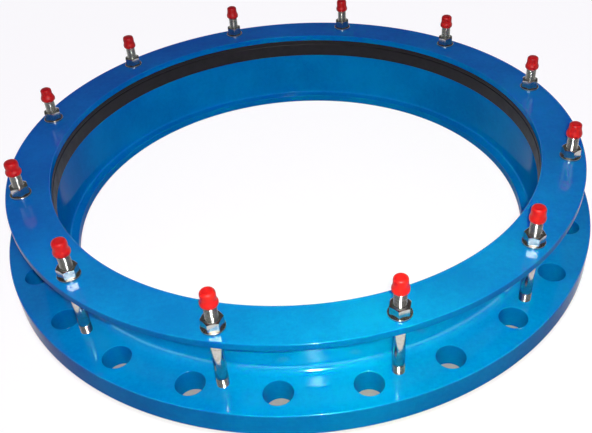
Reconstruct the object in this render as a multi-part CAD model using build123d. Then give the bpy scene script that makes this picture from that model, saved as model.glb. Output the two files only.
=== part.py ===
from build123d import *
import os
from math import cos, radians, sin, tan

# Flange adaptor half of a dismantling joint for DN 700 pipe, in millimetres.
# The mating face of the flange lies on z = 0 and the pipe enters from above along Z.

# Pipe and the bores that let it in
pipe_diameter = 738.0
socket_clearance = 2.5  # radial, pipe to socket wall
gasket_clearance = 2.0  # radial, pipe to the slack gasket
gland_clearance = 2.5  # radial, pipe to the gland ring

# Flange, drilled to PN 16: 910 across, on an 840 circle, with a 794 raised face
flange_thickness = 39.5  # over the raised face
flange_edge_round = 2.0
flange_rim = 35.0  # bolt circle to the edge
raised_face_height = 5.0
raised_face_margin = 4.5  # between the raised face and the bolt holes
bolt_hole_diameter = 37.0
bolt_hole_margin = 3.5  # between the bolt holes and the neck fillet
bolt_hole_count = 24
bolt_hole_start = 7.5  # degrees from +X, so that the holes straddle the axes

# Socket
stop_width = 14.5  # the inner ledge that the pipe end stops at
stop_thickness = 13.0
stop_fillet = 3.0
stop_edge_round = 1.0
socket_depth = 82.0  # stop to gasket seat
neck_wall = 14.5
neck_fillet = 12.0
neck_height = 38.5  # flange to the start of the flare
flare_height = 16.0
flare_round = 5.0
mouth_wall = 9.0
mouth_depth = 17.0  # gasket seat to the rim of the mouth
mouth_edge_round = 1.5
seat_width = 12.5
seat_flare = 7.0  # how much wider the wedge seat is at the rim

# Gasket
gasket_gap = 0.2  # between the wedge and its seat
gasket_head_height = 14.0  # above the rim of the mouth
gasket_head_overhang = 3.0
gasket_edge_round = 1.0
gasket_groove_depth = 1.2
gasket_groove_below_top = 7.0

# Gland ring
gland_rim = 22.5  # stud circle to the edge
gland_rim_thickness = 10.5
gland_lip_thickness = 10.5  # over the gasket
gland_pocket_depth = 4.0  # the plate reaches this far down outside the gasket head
gland_pocket_clearance = 0.5
gland_taper_width = 9.0
gland_edge_round = 1.5

# Studs, set between the flange bolts
stud_diameter = 16.0
stud_shank_diameter = 15.7
stud_margin = 3.5  # between the studs and the mouth of the socket
stud_count = 12
stud_start = 13.0  # degrees from +X, off centre between two bolt holes
stud_engagement = 23.0  # threaded depth in the flange
stud_collar_height = 14.0  # thread left standing above the flange
stud_upper_thread = 72.0
stud_stand_out = 54.5  # above the gland ring
stud_point_chamfer = 1.5
tapped_hole_spare = 3.0  # hole below the end of the stud
tapped_fit = 0.05  # radial
gland_hole_clearance = 1.0  # radial

# Nuts and washers
nut_across_flats = 24.0
nut_height = 13.0
nut_fit = 0.05  # radial
nut_chamfer_angle = 30.0
nut_turn = 10.7  # first corner, degrees from +X
nut_turn_step = 7.0  # each nut stops a little further round
washer_diameter = 30.0
washer_thickness = 3.0
washer_clearance = 0.5  # radial

# Thread caps
cap_length = 21.0
cap_end_wall = 2.0
cap_side_wall = 1.1
cap_waist = 0.35  # how much the side is drawn in
cap_skirt_flare = 2.3
cap_skirt_height = 8.5
cap_skirt_edge = 3.2  # height of the widest line above the rim
cap_top_round = 2.4
cap_fit = 0.05  # radial
cap_mouth_chamfer = 1.2

# Places worked out from the sizes above
stud_radius = stud_diameter / 2
bolt_hole_radius = bolt_hole_diameter / 2
socket_radius = pipe_diameter / 2 + socket_clearance
stop_radius = socket_radius - stop_width
gasket_radius = pipe_diameter / 2 + gasket_clearance
gland_bore_radius = pipe_diameter / 2 + gland_clearance
neck_radius = socket_radius + neck_wall
bolt_circle_radius = neck_radius + neck_fillet + bolt_hole_margin + bolt_hole_radius
flange_radius = bolt_circle_radius + flange_rim
raised_face_radius = bolt_circle_radius - bolt_hole_radius - raised_face_margin
seat_z = stop_thickness + socket_depth
seat_radius = socket_radius + seat_width
mouth_radius = seat_radius + seat_flare
mouth_z = seat_z + mouth_depth
mouth_outer_radius = mouth_radius + mouth_wall
stud_circle_radius = mouth_outer_radius + stud_margin + stud_radius
gland_outer_radius = stud_circle_radius + gland_rim
gasket_top_z = mouth_z + gasket_head_height
gasket_head_radius = mouth_radius + gasket_head_overhang
gland_top_z = gasket_top_z + gland_lip_thickness
pocket_radius = gasket_head_radius + gland_pocket_clearance
washer_top_z = gland_top_z + washer_thickness
stud_top_z = gland_top_z + stud_stand_out
stud_bottom_z = flange_thickness - stud_engagement


def turned(*corners):
    """A solid turned about Z from corners of radius, height and an optional rounding."""
    points = [corner[:2] for corner in corners]
    rounds = [corner[2] if len(corner) > 2 else 0 for corner in corners]
    outline = FilletPolyline(*points, radius=rounds, close=True)
    return revolve(Plane.XZ * make_face(outline), Axis.Z)


def around(radius, angle, height=0.0):
    """A place on a circle about Z, turned to face outwards."""
    x = radius * cos(radians(angle))
    y = radius * sin(radians(angle))
    return Pos(x, y, height) * Rot(0, 0, angle)


def stud_angle(index):
    return stud_start + index * 360 / stud_count


def bolt_holes():
    """Cutters for the through holes of the flange bolts."""
    cutter = extrude(Circle(bolt_hole_radius), flange_thickness)
    step = 360 / bolt_hole_count
    angles = [bolt_hole_start + index * step for index in range(bolt_hole_count)]
    return [around(bolt_circle_radius, angle) * cutter for angle in angles]


def tapped_holes():
    """Cutters for the blind stud holes, each with a drill point below the thread."""
    radius = stud_radius + tapped_fit
    depth = stud_engagement + tapped_hole_spare
    point = min(radius * tan(radians(31)), flange_thickness - raised_face_height - depth - 1)
    bottom = flange_thickness - depth
    cutter = turned((0, bottom - point), (radius, bottom), (radius, flange_thickness), (0, flange_thickness))
    return [around(stud_circle_radius, stud_angle(index)) * cutter for index in range(stud_count)]


def flange_body():
    """The casting: drilled flange, filleted neck, flared mouth and inner pipe stop."""
    flare_z = flange_thickness + neck_height
    body = turned(
        (stop_radius, 0),
        (raised_face_radius, 0),
        (raised_face_radius, raised_face_height),
        (flange_radius, raised_face_height, flange_edge_round),
        (flange_radius, flange_thickness, flange_edge_round),
        (neck_radius, flange_thickness, neck_fillet),
        (neck_radius, flare_z, flare_round),
        (mouth_outer_radius, flare_z + flare_height, flare_round),
        (mouth_outer_radius, mouth_z, mouth_edge_round),
        (mouth_radius, mouth_z),
        (seat_radius, seat_z),
        (socket_radius, seat_z),
        (socket_radius, stop_thickness, stop_fillet),
        (stop_radius, stop_thickness, stop_edge_round),
    )
    return body - bolt_holes() - tapped_holes()


def gasket():
    """The wedge ring in the mouth, with a head that the gland ring presses on."""
    head_foot_z = mouth_z + gasket_gap
    slope = seat_flare / mouth_depth
    groove_z = gasket_top_z - gasket_groove_below_top
    groove = gasket_groove_depth
    return turned(
        (gasket_radius, seat_z),
        (gasket_radius, groove_z - groove),
        (gasket_radius + groove, groove_z),
        (gasket_radius + groove / 3, groove_z + groove),
        (gasket_radius + groove / 3, gasket_top_z, gasket_edge_round),
        (gasket_head_radius, gasket_top_z, gasket_edge_round),
        (gasket_head_radius, head_foot_z),
        (seat_radius + slope * (head_foot_z - seat_z) - gasket_gap, head_foot_z),
        (seat_radius - gasket_gap, seat_z),
    )


def gland_ring():
    """The follower: a drilled plate with a pocket underneath for the gasket head."""
    plate_z = gasket_top_z - gland_pocket_depth
    ring = turned(
        (gland_bore_radius, gasket_top_z),
        (gland_bore_radius, gland_top_z, gland_edge_round),
        (gland_outer_radius, gland_top_z, gland_edge_round),
        (gland_outer_radius, gland_top_z - gland_rim_thickness, gland_edge_round),
        (gland_outer_radius - gland_taper_width, plate_z),
        (pocket_radius, plate_z),
        (pocket_radius, gasket_top_z),
    )
    hole = Circle(stud_radius + gland_hole_clearance)
    cutter = Pos(0, 0, plate_z) * extrude(hole, gland_top_z - plate_z)
    holes = [around(stud_circle_radius, stud_angle(index)) * cutter for index in range(stud_count)]
    return ring - holes


def stud():
    """A double-ended stud with a reduced shank between its two threads."""
    shank = stud_shank_diameter / 2
    step = stud_radius - shank
    collar_z = flange_thickness + stud_collar_height
    thread_z = stud_top_z - stud_upper_thread
    point = stud_point_chamfer
    return turned(
        (0, stud_bottom_z),
        (stud_radius - point, stud_bottom_z),
        (stud_radius, stud_bottom_z + point),
        (stud_radius, collar_z - step),
        (shank, collar_z),
        (shank, thread_z),
        (stud_radius, thread_z + step),
        (stud_radius, stud_top_z - point),
        (stud_radius - point, stud_top_z),
        (0, stud_top_z),
    )


def washer():
    """A plain washer on the gland ring."""
    return turned(
        (stud_radius + washer_clearance, gland_top_z),
        (washer_diameter / 2, gland_top_z),
        (washer_diameter / 2, washer_top_z),
        (stud_radius + washer_clearance, washer_top_z),
    )


def nut():
    """A hexagon nut, chamfered at both ends, with its bore along Z and a corner on +X."""
    bore = stud_radius + nut_fit
    corner = nut_across_flats / 2 / cos(radians(30))
    land = nut_across_flats / 2 * 0.95
    fall = (corner - land) * tan(radians(nut_chamfer_angle))
    lead = stud_point_chamfer / 2
    low, high = washer_top_z, washer_top_z + nut_height
    blank = turned(
        (bore + lead, low),
        (land, low),
        (corner, low + fall),
        (corner, high - fall),
        (land, high),
        (bore + lead, high),
        (bore, high - lead),
        (bore, low + lead),
    )
    hexagon = extrude(RegularPolygon(corner, 6), nut_height)
    return blank & Pos(0, 0, low) * hexagon


def cap():
    """A push-on thread cap: round top, drawn-in side and a flared skirt."""
    bore = stud_radius + cap_fit
    side = bore + cap_side_wall
    skirt = side + cap_skirt_flare
    top = stud_top_z + cap_end_wall
    rim = top - cap_length
    return turned(
        (0, top),
        (side, top, cap_top_round),
        (side - cap_waist, rim + cap_skirt_height),
        (skirt, rim + cap_skirt_edge),
        (skirt - cap_waist, rim),
        (bore + cap_mouth_chamfer, rim),
        (bore, rim + cap_mouth_chamfer),
        (bore, stud_top_z),
        (0, stud_top_z),
    )


def write(shape, node):
    export_step(shape, f"parts/{node}.step")


os.makedirs("parts", exist_ok=True)
write(flange_body(), "flange_body")
write(gasket(), "gasket")
write(gland_ring(), "gland_ring")

fasteners = {"stud": stud(), "washer": washer(), "nut": nut(), "cap": cap()}
for index in range(stud_count):
    place = around(stud_circle_radius, stud_angle(index))
    for name, shape in fasteners.items():
        turn = nut_turn + index * nut_turn_step - stud_angle(index) if name == "nut" else 0
        write(place * Rot(0, 0, turn) * shape, f"{name}_{index + 1:02d}")
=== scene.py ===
from math import atan2, cos, hypot, pi, radians, sin
from random import Random

import bmesh
import bpy
from mathutils import Matrix, Vector


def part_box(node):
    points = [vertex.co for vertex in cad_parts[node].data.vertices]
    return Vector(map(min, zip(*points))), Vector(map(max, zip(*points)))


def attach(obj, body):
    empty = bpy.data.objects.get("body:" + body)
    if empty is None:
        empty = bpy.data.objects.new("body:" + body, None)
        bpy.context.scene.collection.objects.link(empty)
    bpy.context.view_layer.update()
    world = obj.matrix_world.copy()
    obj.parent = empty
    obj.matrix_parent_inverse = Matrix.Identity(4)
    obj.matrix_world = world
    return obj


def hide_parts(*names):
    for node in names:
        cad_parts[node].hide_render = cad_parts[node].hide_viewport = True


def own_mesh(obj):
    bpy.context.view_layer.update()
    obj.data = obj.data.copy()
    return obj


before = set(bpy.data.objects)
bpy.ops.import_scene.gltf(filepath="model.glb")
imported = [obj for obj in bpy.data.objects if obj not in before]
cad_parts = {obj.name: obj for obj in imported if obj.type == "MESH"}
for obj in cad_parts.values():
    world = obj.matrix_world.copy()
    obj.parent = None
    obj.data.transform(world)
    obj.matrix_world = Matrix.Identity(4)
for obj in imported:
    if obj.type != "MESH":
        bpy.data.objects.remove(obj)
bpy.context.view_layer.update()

mm = 0.001
count = sum(name.startswith("stud_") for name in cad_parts)


# Sizes read from the frame

def bottom(name):
    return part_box(name)[0].z


def top(name):
    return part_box(name)[1].z


def centre(name):
    low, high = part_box(name)
    return ((low + high) / 2).xy


def outer_radius(name):
    low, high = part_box(name)
    return (high.x - low.x) / 2


flange_radius = outer_radius("flange_body")
gland_radius = outer_radius("gland_ring")
gasket_head_radius = outer_radius("gasket")
stud_radius = outer_radius("stud_01")
washer_radius = outer_radius("washer_01")

mouth_z = top("flange_body")
seat_z = bottom("gasket")
gasket_top = top("gasket")
gland_top = top("gland_ring")
washer_top = top("washer_01")
nut_top = top("nut_01")
stud_bottom = bottom("stud_01")
stud_top = top("stud_01")
cap_bottom = bottom("cap_01")
cap_top = top("cap_01")

stud_places = [centre(f"stud_{index + 1:02d}") for index in range(count)]

# Sizes that no box gives: the casting, the gland ring and the gasket, then the studs and nuts
flange_top = 39.5 * mm
raised_face = 5 * mm
raised_radius = 397 * mm
stop_radius = 357 * mm
stop_top = 13 * mm
socket_radius = 371.5 * mm
neck_radius = 386 * mm
neck_top = 78 * mm
flare_top = 94 * mm
mouth_radius = 391 * mm
mouth_outer = 400 * mm
seat_radius = 384 * mm
bolt_circle = 420 * mm
bolt_hole = 18.5 * mm
bolt_count = 24
bolt_start = radians(7.5)

gasket_radius = 371 * mm
gland_bore = 371.5 * mm
gland_rim = 10.5 * mm
gland_plate = gasket_top - 4 * mm
gland_pocket = 394.5 * mm
gland_taper = 9 * mm
gland_hole = 9 * mm

pitch = 2 * mm
thread_root = stud_radius - 1.1 * mm
upper_thread = 72 * mm
collar = 14 * mm
nut_flat = 12 * mm
rise = 0.577  # of a slope at 30 degrees, for each unit of run


# Tools for the work in edit mode

def select_none():
    for thing in bpy.context.selected_objects:
        thing.select_set(False)


def take(piece):
    """Makes a piece the only selected one."""
    select_none()
    piece.select_set(True)
    bpy.context.view_layer.objects.active = piece
    return piece


def edit():
    bpy.ops.object.mode_set(mode="EDIT")
    bpy.ops.mesh.select_mode(type="VERT")


def leave():
    bpy.ops.object.mode_set(mode="OBJECT")


def pick(piece, kind, test):
    """In edit mode, selects only the vertices, edges or faces of one kind that pass a test."""
    bpy.ops.mesh.select_mode(type={"verts": "VERT", "edges": "EDGE", "faces": "FACE"}[kind])
    bpy.ops.mesh.select_all(action="DESELECT")
    mesh = bmesh.from_edit_mesh(piece.data)
    for part in getattr(mesh, kind):
        if test(part):
            part.select_set(True)
    mesh.select_flush_mode()
    bmesh.update_edit_mesh(piece.data)


def apply(piece, kind, **settings):
    """Adds a modifier, sets it and applies it."""
    take(piece)
    modifier = piece.modifiers.new(kind.title(), kind)
    for name, value in settings.items():
        setattr(modifier, name, value)
    bpy.ops.object.modifier_apply(modifier=modifier.name)


def smooth(piece, angle=35):
    """Shades a piece smooth, with flat faces kept flat beside their rounded edges."""
    take(piece)
    bpy.ops.object.shade_smooth_by_angle(angle=radians(angle))
    apply(piece, "WEIGHTED_NORMAL", keep_sharp=True, weight=50)


def draw_section(name, corners):
    """Draws a closed section in the XZ plane by extruding one point from corner to corner.

    A corner is a radius and a height, and a third number rounds it."""
    select_none()
    bpy.ops.mesh.primitive_plane_add(size=mm)
    piece = bpy.context.object
    piece.name = name
    edit()
    bpy.ops.mesh.merge(type="CENTER")
    here = Vector()
    for number, corner in enumerate(corners):
        step = Vector((corner[0], 0, corner[1])) - here
        if number:
            bpy.ops.mesh.extrude_vertices_move(TRANSFORM_OT_translate={"value": step})
        else:
            bpy.ops.transform.translate(value=step)
        here += step
    bpy.ops.mesh.select_all(action="SELECT")
    bpy.ops.mesh.edge_face_add()
    for rounding in sorted({corner[2] for corner in corners if len(corner) > 2}):
        spots = [corner for corner in corners if len(corner) > 2 and corner[2] == rounding]
        pick(piece, "verts", lambda v: any(hypot(v.co.x - c[0], v.co.z - c[1]) < 0.01 * mm for c in spots))
        segments = 3 if rounding < 3 * mm else 6
        bpy.ops.mesh.bevel(offset=rounding, offset_type="OFFSET", segments=segments, affect="VERTICES")
    return piece


def turn(piece, steps):
    """Spins the drawn section about Z into a closed ring or rod."""
    bpy.ops.mesh.select_mode(type="VERT")
    bpy.ops.mesh.select_all(action="SELECT")
    bpy.ops.mesh.delete(type="ONLY_FACE")
    bpy.ops.mesh.select_all(action="SELECT")
    bpy.ops.mesh.spin(steps=steps, angle=2 * pi, center=(0, 0, 0), axis=(0, 0, 1))
    bpy.ops.mesh.select_all(action="SELECT")
    bpy.ops.mesh.remove_doubles(threshold=0.002 * mm)
    bpy.ops.mesh.delete_loose()
    bpy.ops.mesh.select_all(action="SELECT")
    bpy.ops.mesh.normals_make_consistent(inside=False)
    leave()
    return piece


def join(pieces, name):
    take(pieces[0])
    for piece in pieces:
        piece.select_set(True)
    bpy.ops.object.join()
    pieces[0].name = name
    return pieces[0]


def rod(radius, low, high, sides=48):
    """A plain cylinder about Z, used as a cutter or a core."""
    select_none()
    bpy.ops.mesh.primitive_cylinder_add(vertices=sides, radius=radius, depth=high - low)
    cutter = bpy.context.object
    edit()
    bpy.ops.transform.translate(value=(0, 0, (low + high) / 2))
    leave()
    return cutter


def copy_to(piece, name, place, angle=0.0):
    """A copy of a piece with its own mesh, turned about Z and set at a place."""
    twin = bpy.data.objects.new(name, piece.data.copy())
    bpy.context.scene.collection.objects.link(twin)
    twin.data.transform(Matrix.Translation((place[0], place[1], 0)) @ Matrix.Rotation(angle, 4, "Z"))
    return twin


def drill(piece, places, radius, low, high, edge, sides=48):
    """Drills round holes through a piece with a cutter that also rounds the rims that it leaves."""
    wide = radius + edge
    clear = 0.01 * mm
    pattern = turn(draw_section("drill_pattern", [
        (0, low - 2 * mm),
        (wide, low - 2 * mm),
        (wide, low - clear),
        (radius, low - clear, edge * 0.98),
        (radius, high + clear, edge * 0.98),
        (wide, high + clear),
        (wide, high + 2 * mm),
        (0, high + 2 * mm),
    ]), sides)
    cutter = join([copy_to(pattern, "drill", place) for place in places], "drill")
    apply(piece, "BOOLEAN", operation="DIFFERENCE", solver="EXACT", object=cutter)
    for tool in (pattern, cutter):
        bpy.data.objects.remove(tool)


def fit(piece, node, body, material):
    """Finishes a piece that stands for a CAD node."""
    piece.data.materials.clear()
    piece.data.materials.append(material)
    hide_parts(node)
    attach(piece, body)


# Finishes

def new_material(name):
    material = bpy.data.materials.new(name)
    material.use_nodes = True
    nodes = material.node_tree.nodes
    return material, nodes, material.node_tree.links, nodes["Principled BSDF"]


def noise(nodes, links, scale, detail=3.0, roughness=0.5):
    """Noise that follows the piece, at a scale in waves per metre."""
    place = nodes.new("ShaderNodeTexCoord")
    texture = nodes.new("ShaderNodeTexNoise")
    texture.inputs["Scale"].default_value = scale
    texture.inputs["Detail"].default_value = detail
    texture.inputs["Roughness"].default_value = roughness
    links.new(place.outputs["Object"], texture.inputs["Vector"])
    return texture.outputs["Fac"]


def ramp(nodes, links, source, stops):
    """Colours along a source from 0 to 1."""
    node = nodes.new("ShaderNodeValToRGB")
    elements = node.color_ramp.elements
    while len(elements) < len(stops):
        elements.new(0.5)
    for element, (spot, colour) in zip(elements, stops):
        element.position = spot
        element.color = (*colour, 1)
    links.new(source, node.inputs["Fac"])
    return node.outputs["Color"]


def spread(nodes, links, source, low, high, source_low=0.3, source_high=0.7):
    """Numbers from low to high as a source goes across its middle range."""
    node = nodes.new("ShaderNodeMapRange")
    values = {"From Min": source_low, "From Max": source_high, "To Min": low, "To Max": high}
    for name, value in values.items():
        node.inputs[name].default_value = value
    links.new(source, node.inputs["Value"])
    return node.outputs["Result"]


def bump(nodes, links, shader, layers):
    """Stacks layers of relief, each a source and its depth in metres."""
    last = None
    for source, depth in layers:
        node = nodes.new("ShaderNodeBump")
        node.inputs["Strength"].default_value = 1.0
        node.inputs["Distance"].default_value = depth
        links.new(source, node.inputs["Height"])
        if last:
            links.new(last, node.inputs["Normal"])
        last = node.outputs["Normal"]
    links.new(last, shader.inputs["Normal"])


def maths(nodes, links, operation, *values):
    """A sum on sources or plain numbers."""
    node = nodes.new("ShaderNodeMath")
    node.operation = operation
    for socket, value in zip(node.inputs, values):
        if isinstance(value, (int, float)):
            socket.default_value = value
        else:
            links.new(value, socket)
    return node.outputs[0]


def mixed(nodes, links, factor, first, second):
    """The first colour where the factor is 0, and the second where it is 1."""
    mix = nodes.new("ShaderNodeMix")
    mix.data_type = "RGBA"
    links.new(factor, mix.inputs["Factor"])
    links.new(first, mix.inputs[6])
    links.new(second, mix.inputs[7])
    return mix.outputs[2]


def casting_zones(nodes, links):
    """Two masks over a casting's upright faces: rim faces and bolt holes, which carry painted shade, and
    those together with the bore.
    """
    place = nodes.new("ShaderNodeTexCoord")
    split = nodes.new("ShaderNodeSeparateXYZ")
    links.new(place.outputs["Object"], split.inputs[0])
    flat = nodes.new("ShaderNodeCombineXYZ")
    links.new(split.outputs["X"], flat.inputs["X"])
    links.new(split.outputs["Y"], flat.inputs["Y"])
    reach = nodes.new("ShaderNodeVectorMath")
    reach.operation = "LENGTH"
    links.new(flat.outputs[0], reach.inputs[0])
    facing = nodes.new("ShaderNodeSeparateXYZ")
    links.new(place.outputs["Normal"], facing.inputs[0])
    upright = spread(nodes, links, maths(nodes, links, "ABSOLUTE", facing.outputs["Z"]), 1, 0, 0.3, 0.9)
    edge = spread(nodes, links, split.outputs["Z"], neck_radius + 13 * mm, gland_radius - 2 * mm,
                  flange_top, gland_plate)
    outer = maths(nodes, links, "GREATER_THAN", reach.outputs["Value"], edge)
    inner = maths(nodes, links, "LESS_THAN", reach.outputs["Value"], neck_radius - 8 * mm)
    shaded_rims = maths(nodes, links, "MULTIPLY", upright, outer)
    walls = maths(nodes, links, "MULTIPLY", upright, maths(nodes, links, "MAXIMUM", outer, inner))
    return shaded_rims, walls


def blue_coating():
    """Thick glossy epoxy over a cast skin, with slow swells, orange peel and drift in the blue.

    On rim faces and in bolt holes its blue is darkened as painted shade, and it is duller there and in the
    bore."""
    material, nodes, links, shader = new_material("blue_coating")
    drift = noise(nodes, links, 9, 4)
    mottle = noise(nodes, links, 150, 3, 0.7)
    cloud = maths(nodes, links, "ADD", maths(nodes, links, "MULTIPLY", drift, 0.7),
                  maths(nodes, links, "MULTIPLY", mottle, 0.3))
    face = ramp(nodes, links, cloud, [(0.38, (0.0, 0.2, 0.49)), (0.62, (0.0, 0.285, 0.6))])
    # Painted shade: a darker blue for the upright rim faces and bolt-hole walls.
    rim = ramp(nodes, links, cloud, [(0.38, (0.0, 0.13, 0.39)), (0.62, (0.0, 0.18, 0.47))])
    shaded_rims, walls = casting_zones(nodes, links)
    links.new(mixed(nodes, links, shaded_rims, face, rim), shader.inputs["Base Color"])
    haze = noise(nodes, links, 60, 5, 0.65)
    links.new(spread(nodes, links, haze, 0.04, 0.1), shader.inputs["Roughness"])
    shader.inputs["IOR"].default_value = 1.5
    links.new(spread(nodes, links, walls, 0.95, 0.01, 0, 1), shader.inputs["Specular IOR Level"])
    shader.inputs["Specular Tint"].default_value = (0.75, 0.9, 1, 1)
    swell = noise(nodes, links, 16, 2)
    peel = noise(nodes, links, 240, 2)
    bump(nodes, links, shader, [(swell, 0.12 * mm), (peel, 0.014 * mm)])
    return material


def seal_rubber():
    """Black moulded rubber with a faint bloom."""
    material, nodes, links, shader = new_material("seal_rubber")
    bloom = noise(nodes, links, 45, 5, 0.7)
    blacks = [(0.35, (0.004, 0.004, 0.005)), (0.75, (0.014, 0.014, 0.016))]
    links.new(ramp(nodes, links, bloom, blacks), shader.inputs["Base Color"])
    links.new(spread(nodes, links, bloom, 0.38, 0.6), shader.inputs["Roughness"])
    shader.inputs["Specular IOR Level"].default_value = 0.2
    grain = noise(nodes, links, 900, 3)
    bump(nodes, links, shader, [(grain, 0.08 * mm)])
    return material


def zinc_plate():
    """Bright zinc plate with a faint olive cast and fine drawn marks."""
    material, nodes, links, shader = new_material("zinc_plate")
    cast = noise(nodes, links, 140, 4, 0.6)
    greys = [(0.3, (0.42, 0.42, 0.37)), (0.55, (0.56, 0.56, 0.53)), (0.75, (0.47, 0.46, 0.4))]
    links.new(ramp(nodes, links, cast, greys), shader.inputs["Base Color"])
    shader.inputs["Metallic"].default_value = 1.0
    cloud = noise(nodes, links, 420, 4, 0.7)
    links.new(spread(nodes, links, cloud, 0.1, 0.24), shader.inputs["Roughness"])
    marks = noise(nodes, links, 1500, 3)
    bump(nodes, links, shader, [(marks, 0.025 * mm)])
    return material


def red_cap():
    """Soft red polyethylene with a satin skin."""
    material, nodes, links, shader = new_material("red_cap")
    flow = noise(nodes, links, 120, 4, 0.6)
    reds = [(0.3, (0.52, 0.006, 0.004)), (0.7, (0.68, 0.014, 0.008))]
    links.new(ramp(nodes, links, flow, reds), shader.inputs["Base Color"])
    links.new(spread(nodes, links, flow, 0.36, 0.5), shader.inputs["Roughness"])
    shader.inputs["Specular IOR Level"].default_value = 0.3
    shader.inputs["Subsurface Weight"].default_value = 0.12
    shader.inputs["Subsurface Radius"].default_value = (2 * mm, 0.5 * mm, 0.4 * mm)
    skin = noise(nodes, links, 700, 3)
    bump(nodes, links, shader, [(skin, 0.04 * mm)])
    return material


# Pieces

def socket_casting():
    """The drilled flange with its neck, flared mouth, wedge seat and pipe stop."""
    piece = draw_section("socket_casting", [
        (stop_radius, 0, 1 * mm),
        (raised_radius, 0, 0.8 * mm),
        (raised_radius, raised_face, 1 * mm),
        (flange_radius, raised_face, 2 * mm),
        (flange_radius, flange_top, 2 * mm),
        (neck_radius, flange_top, 12 * mm),
        (neck_radius, neck_top, 5 * mm),
        (mouth_outer, flare_top, 5 * mm),
        (mouth_outer, mouth_z, 1.5 * mm),
        (mouth_radius, mouth_z, 0.8 * mm),
        (seat_radius, seat_z, 1 * mm),
        (socket_radius, seat_z, 1 * mm),
        (socket_radius, stop_top, 3.2 * mm),
        (stop_radius, stop_top, 1 * mm),
    ])
    turn(piece, 240)
    angles = [bolt_start + index * 2 * pi / bolt_count for index in range(bolt_count)]
    holes = [(bolt_circle * cos(angle), bolt_circle * sin(angle)) for angle in angles]
    drill(piece, holes, bolt_hole, raised_face, flange_top, 1.2 * mm)
    smooth(piece)
    return piece


def gland():
    """The follower ring, thicker at its bore and tapered to its rim, drilled for the studs."""
    piece = draw_section("gland_plate", [
        (gland_bore, gasket_top, 0.8 * mm),
        (gland_bore, gland_top, 1.5 * mm),
        (gland_radius, gland_top, 1.5 * mm),
        (gland_radius, gland_top - gland_rim, 1.5 * mm),
        (gland_radius - gland_taper, gland_plate, 2 * mm),
        (gland_pocket, gland_plate, 0.8 * mm),
        (gland_pocket, gasket_top, 0.8 * mm),
    ])
    turn(piece, 240)
    drill(piece, stud_places, gland_hole, gland_plate, gland_top, 0.6 * mm, 32)
    smooth(piece)
    return piece


def wedge_gasket():
    """The wedge ring, with a lip line moulded round its bore."""
    groove = gasket_top - 7 * mm
    piece = draw_section("wedge_gasket", [
        (gasket_radius, seat_z, 0.8 * mm),
        (gasket_radius, groove - 1.2 * mm, 0.8 * mm),
        (gasket_radius + 1.2 * mm, groove, 0.4 * mm),
        (gasket_radius + 0.4 * mm, groove + 1.2 * mm, 0.4 * mm),
        (gasket_radius + 0.4 * mm, gasket_top, 0.8 * mm),
        (gasket_head_radius, gasket_top, 0.8 * mm),
        (gasket_head_radius, mouth_z + 0.2 * mm, 0.8 * mm),
        (mouth_radius - 0.2 * mm, mouth_z + 0.2 * mm),
        (seat_radius - 0.2 * mm, seat_z, 0.8 * mm),
    ])
    turn(piece, 200)
    smooth(piece)
    return piece


def thread(name, low, high):
    """A length of helical thread, cut flat and closed at both ends.

    The section of one turn has its crest's corners cut back by a brow at 45 degrees."""
    brow = 0.24 * mm
    out = stud_radius - thread_root - brow
    flank = out * rise
    root = (pitch - 2 * flank - 2 * brow) * 0.6
    crest = pitch - 2 * flank - 2 * brow - root
    select_none()
    bpy.ops.mesh.primitive_plane_add(size=mm)
    piece = bpy.context.object
    piece.name = name
    edit()
    bpy.ops.mesh.merge(type="CENTER")
    bpy.ops.transform.translate(value=(thread_root, 0, low - 2 * pitch))
    for step in ((0, root), (out, flank), (brow, brow), (0, crest), (-brow, brow), (-out, flank)):
        bpy.ops.mesh.extrude_vertices_move(TRANSFORM_OT_translate={"value": (step[0], 0, step[1])})
    leave()
    turns = int((high - low) / pitch) + 4
    apply(piece, "SCREW", angle=2 * pi, screw_offset=pitch, iterations=turns, steps=20, render_steps=20,
          axis="Z", use_merge_vertices=True, merge_threshold=0.001 * mm)
    edit()
    for level, clear in ((low, {"clear_inner": True}), (high, {"clear_outer": True})):
        bpy.ops.mesh.select_all(action="SELECT")
        bpy.ops.mesh.remove_doubles(threshold=0.002 * mm)
        bpy.ops.mesh.bisect(plane_co=(0, 0, level), plane_no=(0, 0, 1), threshold=0.001 * mm, use_fill=True,
                            **clear)
    bpy.ops.mesh.select_all(action="SELECT")
    bpy.ops.mesh.normals_make_consistent(inside=False)
    leave()
    return piece


def tie_stud():
    """A stud threaded at both ends, with a plain shank between."""
    upper = stud_top - upper_thread
    shank = stud_radius - 0.15 * mm
    run_out = stud_radius - thread_root
    core = turn(draw_section("shank", [
        (0, flange_top + collar - 2 * mm),
        (thread_root, flange_top + collar - 2 * mm),
        (thread_root, flange_top + collar - run_out),
        (shank, flange_top + collar),
        (shank, upper),
        (thread_root, upper + run_out),
        (thread_root, upper + 2 * mm),
        (0, upper + 2 * mm),
    ]), 40)
    pieces = [core, thread("collar_thread", stud_bottom, flange_top + collar - 0.4 * mm),
              thread("upper_thread", upper + 0.4 * mm, stud_top)]
    piece = join(pieces, "tie_stud")
    take(piece)
    bpy.ops.object.shade_smooth_by_angle(angle=radians(75))
    return piece


def plain_washer():
    """A stamped washer with one rolled edge."""
    hole = stud_radius + 0.5 * mm
    piece = draw_section("plain_washer", [
        (hole, gland_top, 0.2 * mm),
        (washer_radius, gland_top, 0.2 * mm),
        (washer_radius, washer_top, 0.7 * mm),
        (hole, washer_top, 0.4 * mm),
    ])
    turn(piece, 48)
    smooth(piece)
    return piece


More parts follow.
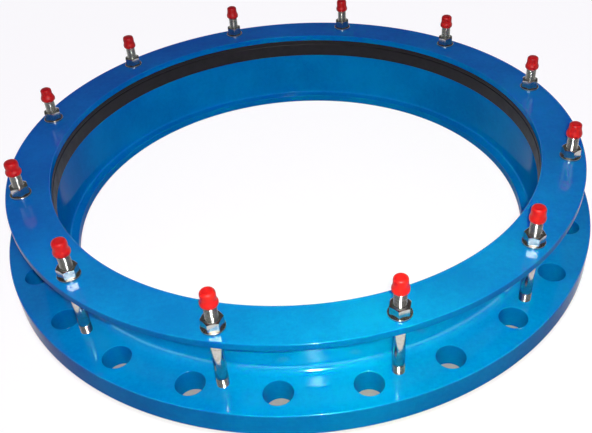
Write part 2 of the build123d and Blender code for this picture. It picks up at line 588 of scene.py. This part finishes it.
def hex_nut():
    """A hexagon nut, chamfered at both ends and countersunk at its bore."""
    corner = nut_flat / cos(radians(30))
    land = nut_flat * 0.95
    fall = (corner - land) * rise
    bore = stud_radius + 0.05 * mm
    piece = draw_section("hex_nut", [
        (bore + 0.9 * mm, washer_top),
        (land, washer_top),
        (corner + 0.4 * mm, washer_top + fall + 0.23 * mm),
        (corner + 0.4 * mm, nut_top - fall - 0.23 * mm),
        (land, nut_top),
        (bore + 0.9 * mm, nut_top),
        (bore, nut_top - 0.9 * mm),
        (bore, washer_top + 0.9 * mm),
    ])
    turn(piece, 72)
    hexagon = rod(corner, washer_top - 1 * mm, nut_top + 1 * mm, 6)
    edit()
    bpy.ops.transform.rotate(value=radians(30), orient_axis="Z", center_override=(0, 0, 0))
    pick(hexagon, "edges", lambda e: abs(e.verts[0].co.z - e.verts[1].co.z) > 1 * mm)
    bpy.ops.mesh.bevel(offset=0.3 * mm, segments=2, affect="EDGES")
    leave()
    apply(piece, "BOOLEAN", operation="INTERSECT", solver="EXACT", object=hexagon)
    bpy.data.objects.remove(hexagon)
    smooth(piece, 30)
    return piece


def thread_cap(crown, waist, skirt, seed):
    """A push-on cap of soft plastic: a domed crown, a waist and a flared skirt.

    The seed pinches each one a little differently, and leaves its bore round."""
    chance = Random(seed)
    bore = stud_radius + 0.05 * mm
    low, high = cap_bottom, cap_top
    belt = low + chance.uniform(8.5, 10.5) * mm
    piece = draw_section("thread_cap", [
        (0, high),
        (crown - 0.3 * mm, high, 4.2 * mm),
        (crown, high - 8 * mm, 3.5 * mm),
        (waist, belt, 2.4 * mm),
        (skirt, low + 5 * mm, 1.8 * mm),
        (skirt - 0.7 * mm, low + 1 * mm, 0.8 * mm),
        (bore + 1.2 * mm, low, 0.4 * mm),
        (bore, low + 1.2 * mm, 0.4 * mm),
        (bore, stud_top),
        (0, stud_top),
    ])
    turn(piece, 40)
    squeeze = chance.uniform(0.01, 0.03)
    facing = chance.uniform(0, pi)
    for vertex in piece.data.vertices:
        x, y, z = vertex.co
        reach = hypot(x, y)
        if reach <= bore + 0.1 * mm:
            continue
        around = atan2(y, x) - facing
        share = (z - low) / (high - low)
        grow = 1 - squeeze * (1 - cos(2 * around)) / 2 - 0.01 * (1 - cos(3 * around + 5 * share)) / 2
        grow = max(grow, (bore + 0.5 * mm) / reach)
        vertex.co = Vector((x * grow, y * grow, z))
    smooth(piece, 50)
    return piece


# Fitting the pieces

coating = blue_coating()
rubber = seal_rubber()
zinc = zinc_plate()
red = red_cap()

fit(socket_casting(), "flange_body", "root", coating)
fit(gland(), "gland_ring", "gland", coating)
seal = wedge_gasket()
fit(seal, "gasket", "root", rubber)
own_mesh(seal)

# The angle of the first nut, the step from nut to nut, and how far some stand past that, all in degrees
first_nut = 10.7
nut_step = 7
nut_turns = {"08": 20.7, "11": 15.6}

# The shapes of some caps, in mm: crown, waist and skirt
cap_shapes = {"01": (9.3, 9.4, 11.2), "04": (9.2, 9.3, 11.3), "06": (8.9, 9.1, 11.5), "07": (9.8, 8.7, 11.4),
              "08": (9.8, 8.9, 11.3), "09": (9.5, 8.9, 11.4), "10": (9.5, 9.5, 11.3), "11": (9.5, 9.1, 10.9),
              "12": (9.2, 9.6, 11.4)}

stud_pattern = tie_stud()
washer_pattern = plain_washer()
nut_pattern = hex_nut()
for index, place in enumerate(stud_places):
    number = f"{index + 1:02d}"
    chance = Random(40 + index)
    fit(copy_to(stud_pattern, f"tie_stud_{number}", place, chance.uniform(0, 6)),
        f"stud_{number}", "root", zinc)
    fit(copy_to(washer_pattern, f"plain_washer_{number}", place, chance.uniform(0, 6)),
        f"washer_{number}", "gland", zinc)
    corner_angle = radians(first_nut + nut_step * index + nut_turns.get(number, 0))
    fit(copy_to(nut_pattern, f"hex_nut_{number}", place, corner_angle),
        f"nut_{number}", f"nut_{number}", zinc)
    crown, waist, skirt = cap_shapes.get(number, (9.6, 9.1, 11.1))
    change = chance.uniform(-0.2, 0.2)
    cap = thread_cap((crown + change) * mm, (waist + change / 2) * mm, skirt * mm, 100 + index)
    fit(copy_to(cap, f"thread_cap_{number}", place), f"cap_{number}", f"cap_{number}", red)
    bpy.data.objects.remove(cap)
for pattern in (stud_pattern, washer_pattern, nut_pattern):
    bpy.data.objects.remove(pattern)


# Floor, light and camera

def white_floor():
    """A pale floor that keeps the object's shadow, and is white to what looks at it or mirrors it, save for
    a painted shadow in a ring under the flange.
    """
    select_none()
    bpy.ops.mesh.primitive_circle_add(vertices=96, radius=12, fill_type="NGON", location=(0, 0, -0.2 * mm))
    floor = bpy.context.object
    floor.name = "floor"
    material, nodes, links, shader = new_material("floor_paint")
    shader.inputs["Base Color"].default_value = (0.12, 0.12, 0.12, 1)
    shader.inputs["Roughness"].default_value = 0.9
    shader.inputs["Specular IOR Level"].default_value = 0.0
    place = nodes.new("ShaderNodeTexCoord")
    reach = nodes.new("ShaderNodeVectorMath")
    reach.operation = "LENGTH"
    links.new(place.outputs["Object"], reach.inputs[0])
    white = (0.92, 0.92, 0.92)
    shadow = (0.2, 0.2, 0.22)
    foot = (raised_radius + flange_radius) / 2
    # Painted shadow: the glow dims to grey in a ring under the flange, from inside the raised face to just
    # past the rim.
    shade = ramp(nodes, links, reach.outputs["Value"], [
        (stop_radius - 2 * mm, white), (stop_radius + 16 * mm, shadow),
        (foot + 12 * mm, shadow), (flange_radius + 3 * mm, white)])
    glow = nodes.new("ShaderNodeEmission")
    links.new(shade, glow.inputs["Color"])
    seen = seen_rays(nodes, links)
    both = nodes.new("ShaderNodeAddShader")
    mix = nodes.new("ShaderNodeMixShader")
    links.new(shader.outputs[0], both.inputs[0])
    links.new(glow.outputs[0], both.inputs[1])
    links.new(seen, mix.inputs[0])
    links.new(shader.outputs[0], mix.inputs[1])
    links.new(both.outputs[0], mix.inputs[2])
    links.new(mix.outputs[0], nodes["Material Output"].inputs["Surface"])
    floor.data.materials.append(material)


def seen_rays(nodes, links):
    """One for rays from the camera and those that mirror or pass on what it sees."""
    path = nodes.new("ShaderNodeLightPath")
    total = path.outputs["Is Camera Ray"]
    for ray in ("Is Glossy Ray", "Is Transmission Ray"):
        total = maths(nodes, links, "MAXIMUM", total, path.outputs[ray])
    return total


def studio_world():
    """A pale room, white at eye level and dark overhead.

    As a source of light it is dim, with a low window behind the part."""
    world = bpy.data.worlds.new("studio")
    bpy.context.scene.world = world
    world.use_nodes = True
    nodes, links = world.node_tree.nodes, world.node_tree.links
    background = nodes["Background"]
    place = nodes.new("ShaderNodeTexCoord")
    split = nodes.new("ShaderNodeSeparateXYZ")
    links.new(place.outputs["Generated"], split.inputs[0])
    height = split.outputs["Z"]
    room = ramp(nodes, links, height, [
        (0, (1, 1, 1)), (0.16, (1, 1, 1)), (0.34, (0.05, 0.05, 0.055)),
        (0.6, (0.08, 0.08, 0.075)), (1, (0.06, 0.06, 0.06))])
    behind = spread(nodes, links, split.outputs["Y"], 0, 1, 0, 0.6)
    low = spread(nodes, links, height, 1, 0, 0.05, 0.5)
    window = maths(nodes, links, "MULTIPLY", behind, low)
    light = ramp(nodes, links, window, [(0, (0.09, 0.02, 0.24)), (1, (0.95, 1, 1))])
    links.new(mixed(nodes, links, seen_rays(nodes, links), light, room), background.inputs["Color"])


def lamp(name, place, aim, width, height, power, colour, beam, unseen):
    """A rectangular lamp at a place, turned to an aim.

    The beam is an angle in degrees, and unseen names the kind of ray that the lamp is hidden from."""
    light = bpy.data.lights.new(name, "AREA")
    light.shape = "RECTANGLE"
    light.size, light.size_y, light.energy, light.color = width, height, power, colour
    light.spread = radians(beam)
    holder = bpy.data.objects.new(name, light)
    bpy.context.scene.collection.objects.link(holder)
    holder.location = place
    holder.rotation_euler = (Vector(aim) - Vector(place)).to_track_quat("-Z", "Y").to_euler()
    setattr(holder, unseen, False)


def camera():
    """The camera, in front of the part and above it."""
    lens = bpy.data.cameras.new("camera")
    lens.sensor_width = 36
    lens.lens = 46.14
    lens.shift_x = -0.0385
    lens.shift_y = -0.0237
    lens.clip_start = 0.01
    holder = bpy.data.objects.new("camera", lens)
    bpy.context.scene.collection.objects.link(holder)
    holder.location = (-30.5 * mm, -1010 * mm, 759.1 * mm)
    holder.rotation_euler = (radians(53.252), radians(2.479), radians(-5.345))
    bpy.context.scene.camera = holder


white_floor()
studio_world()

# Beside the camera: a light on the near side, one over all, and the one that glossy faces mirror
front = (-0.0045, -1.04, 0.81)
near = (0.06, -0.4, 0.08)
lamp("near_light", front, near, 0.045, 0.03, 3.1, (0.55, 1, 0.12), 80, "visible_glossy")
lamp("wide_light", front, near, 0.045, 0.03, 11.4, (0.8, 0.26, 1), 180, "visible_glossy")
lamp("mirrored_light", front, near, 0.045, 0.03, 18, (1, 1, 1), 180, "visible_diffuse")
lamp("left_fill", (-2.2, -0.6, 2.4), (0, 0, 0.05), 1.4, 1.4, 4.4, (0.75, 0.24, 1), 180, "visible_glossy")
lamp("right_fill", (2.2, -0.6, 2.4), (0, 0, 0.05), 1.4, 1.4, 10.8, (0.65, 0.38, 1), 180, "visible_glossy")
camera()

bpy.context.scene.view_settings.view_transform = "Standard"
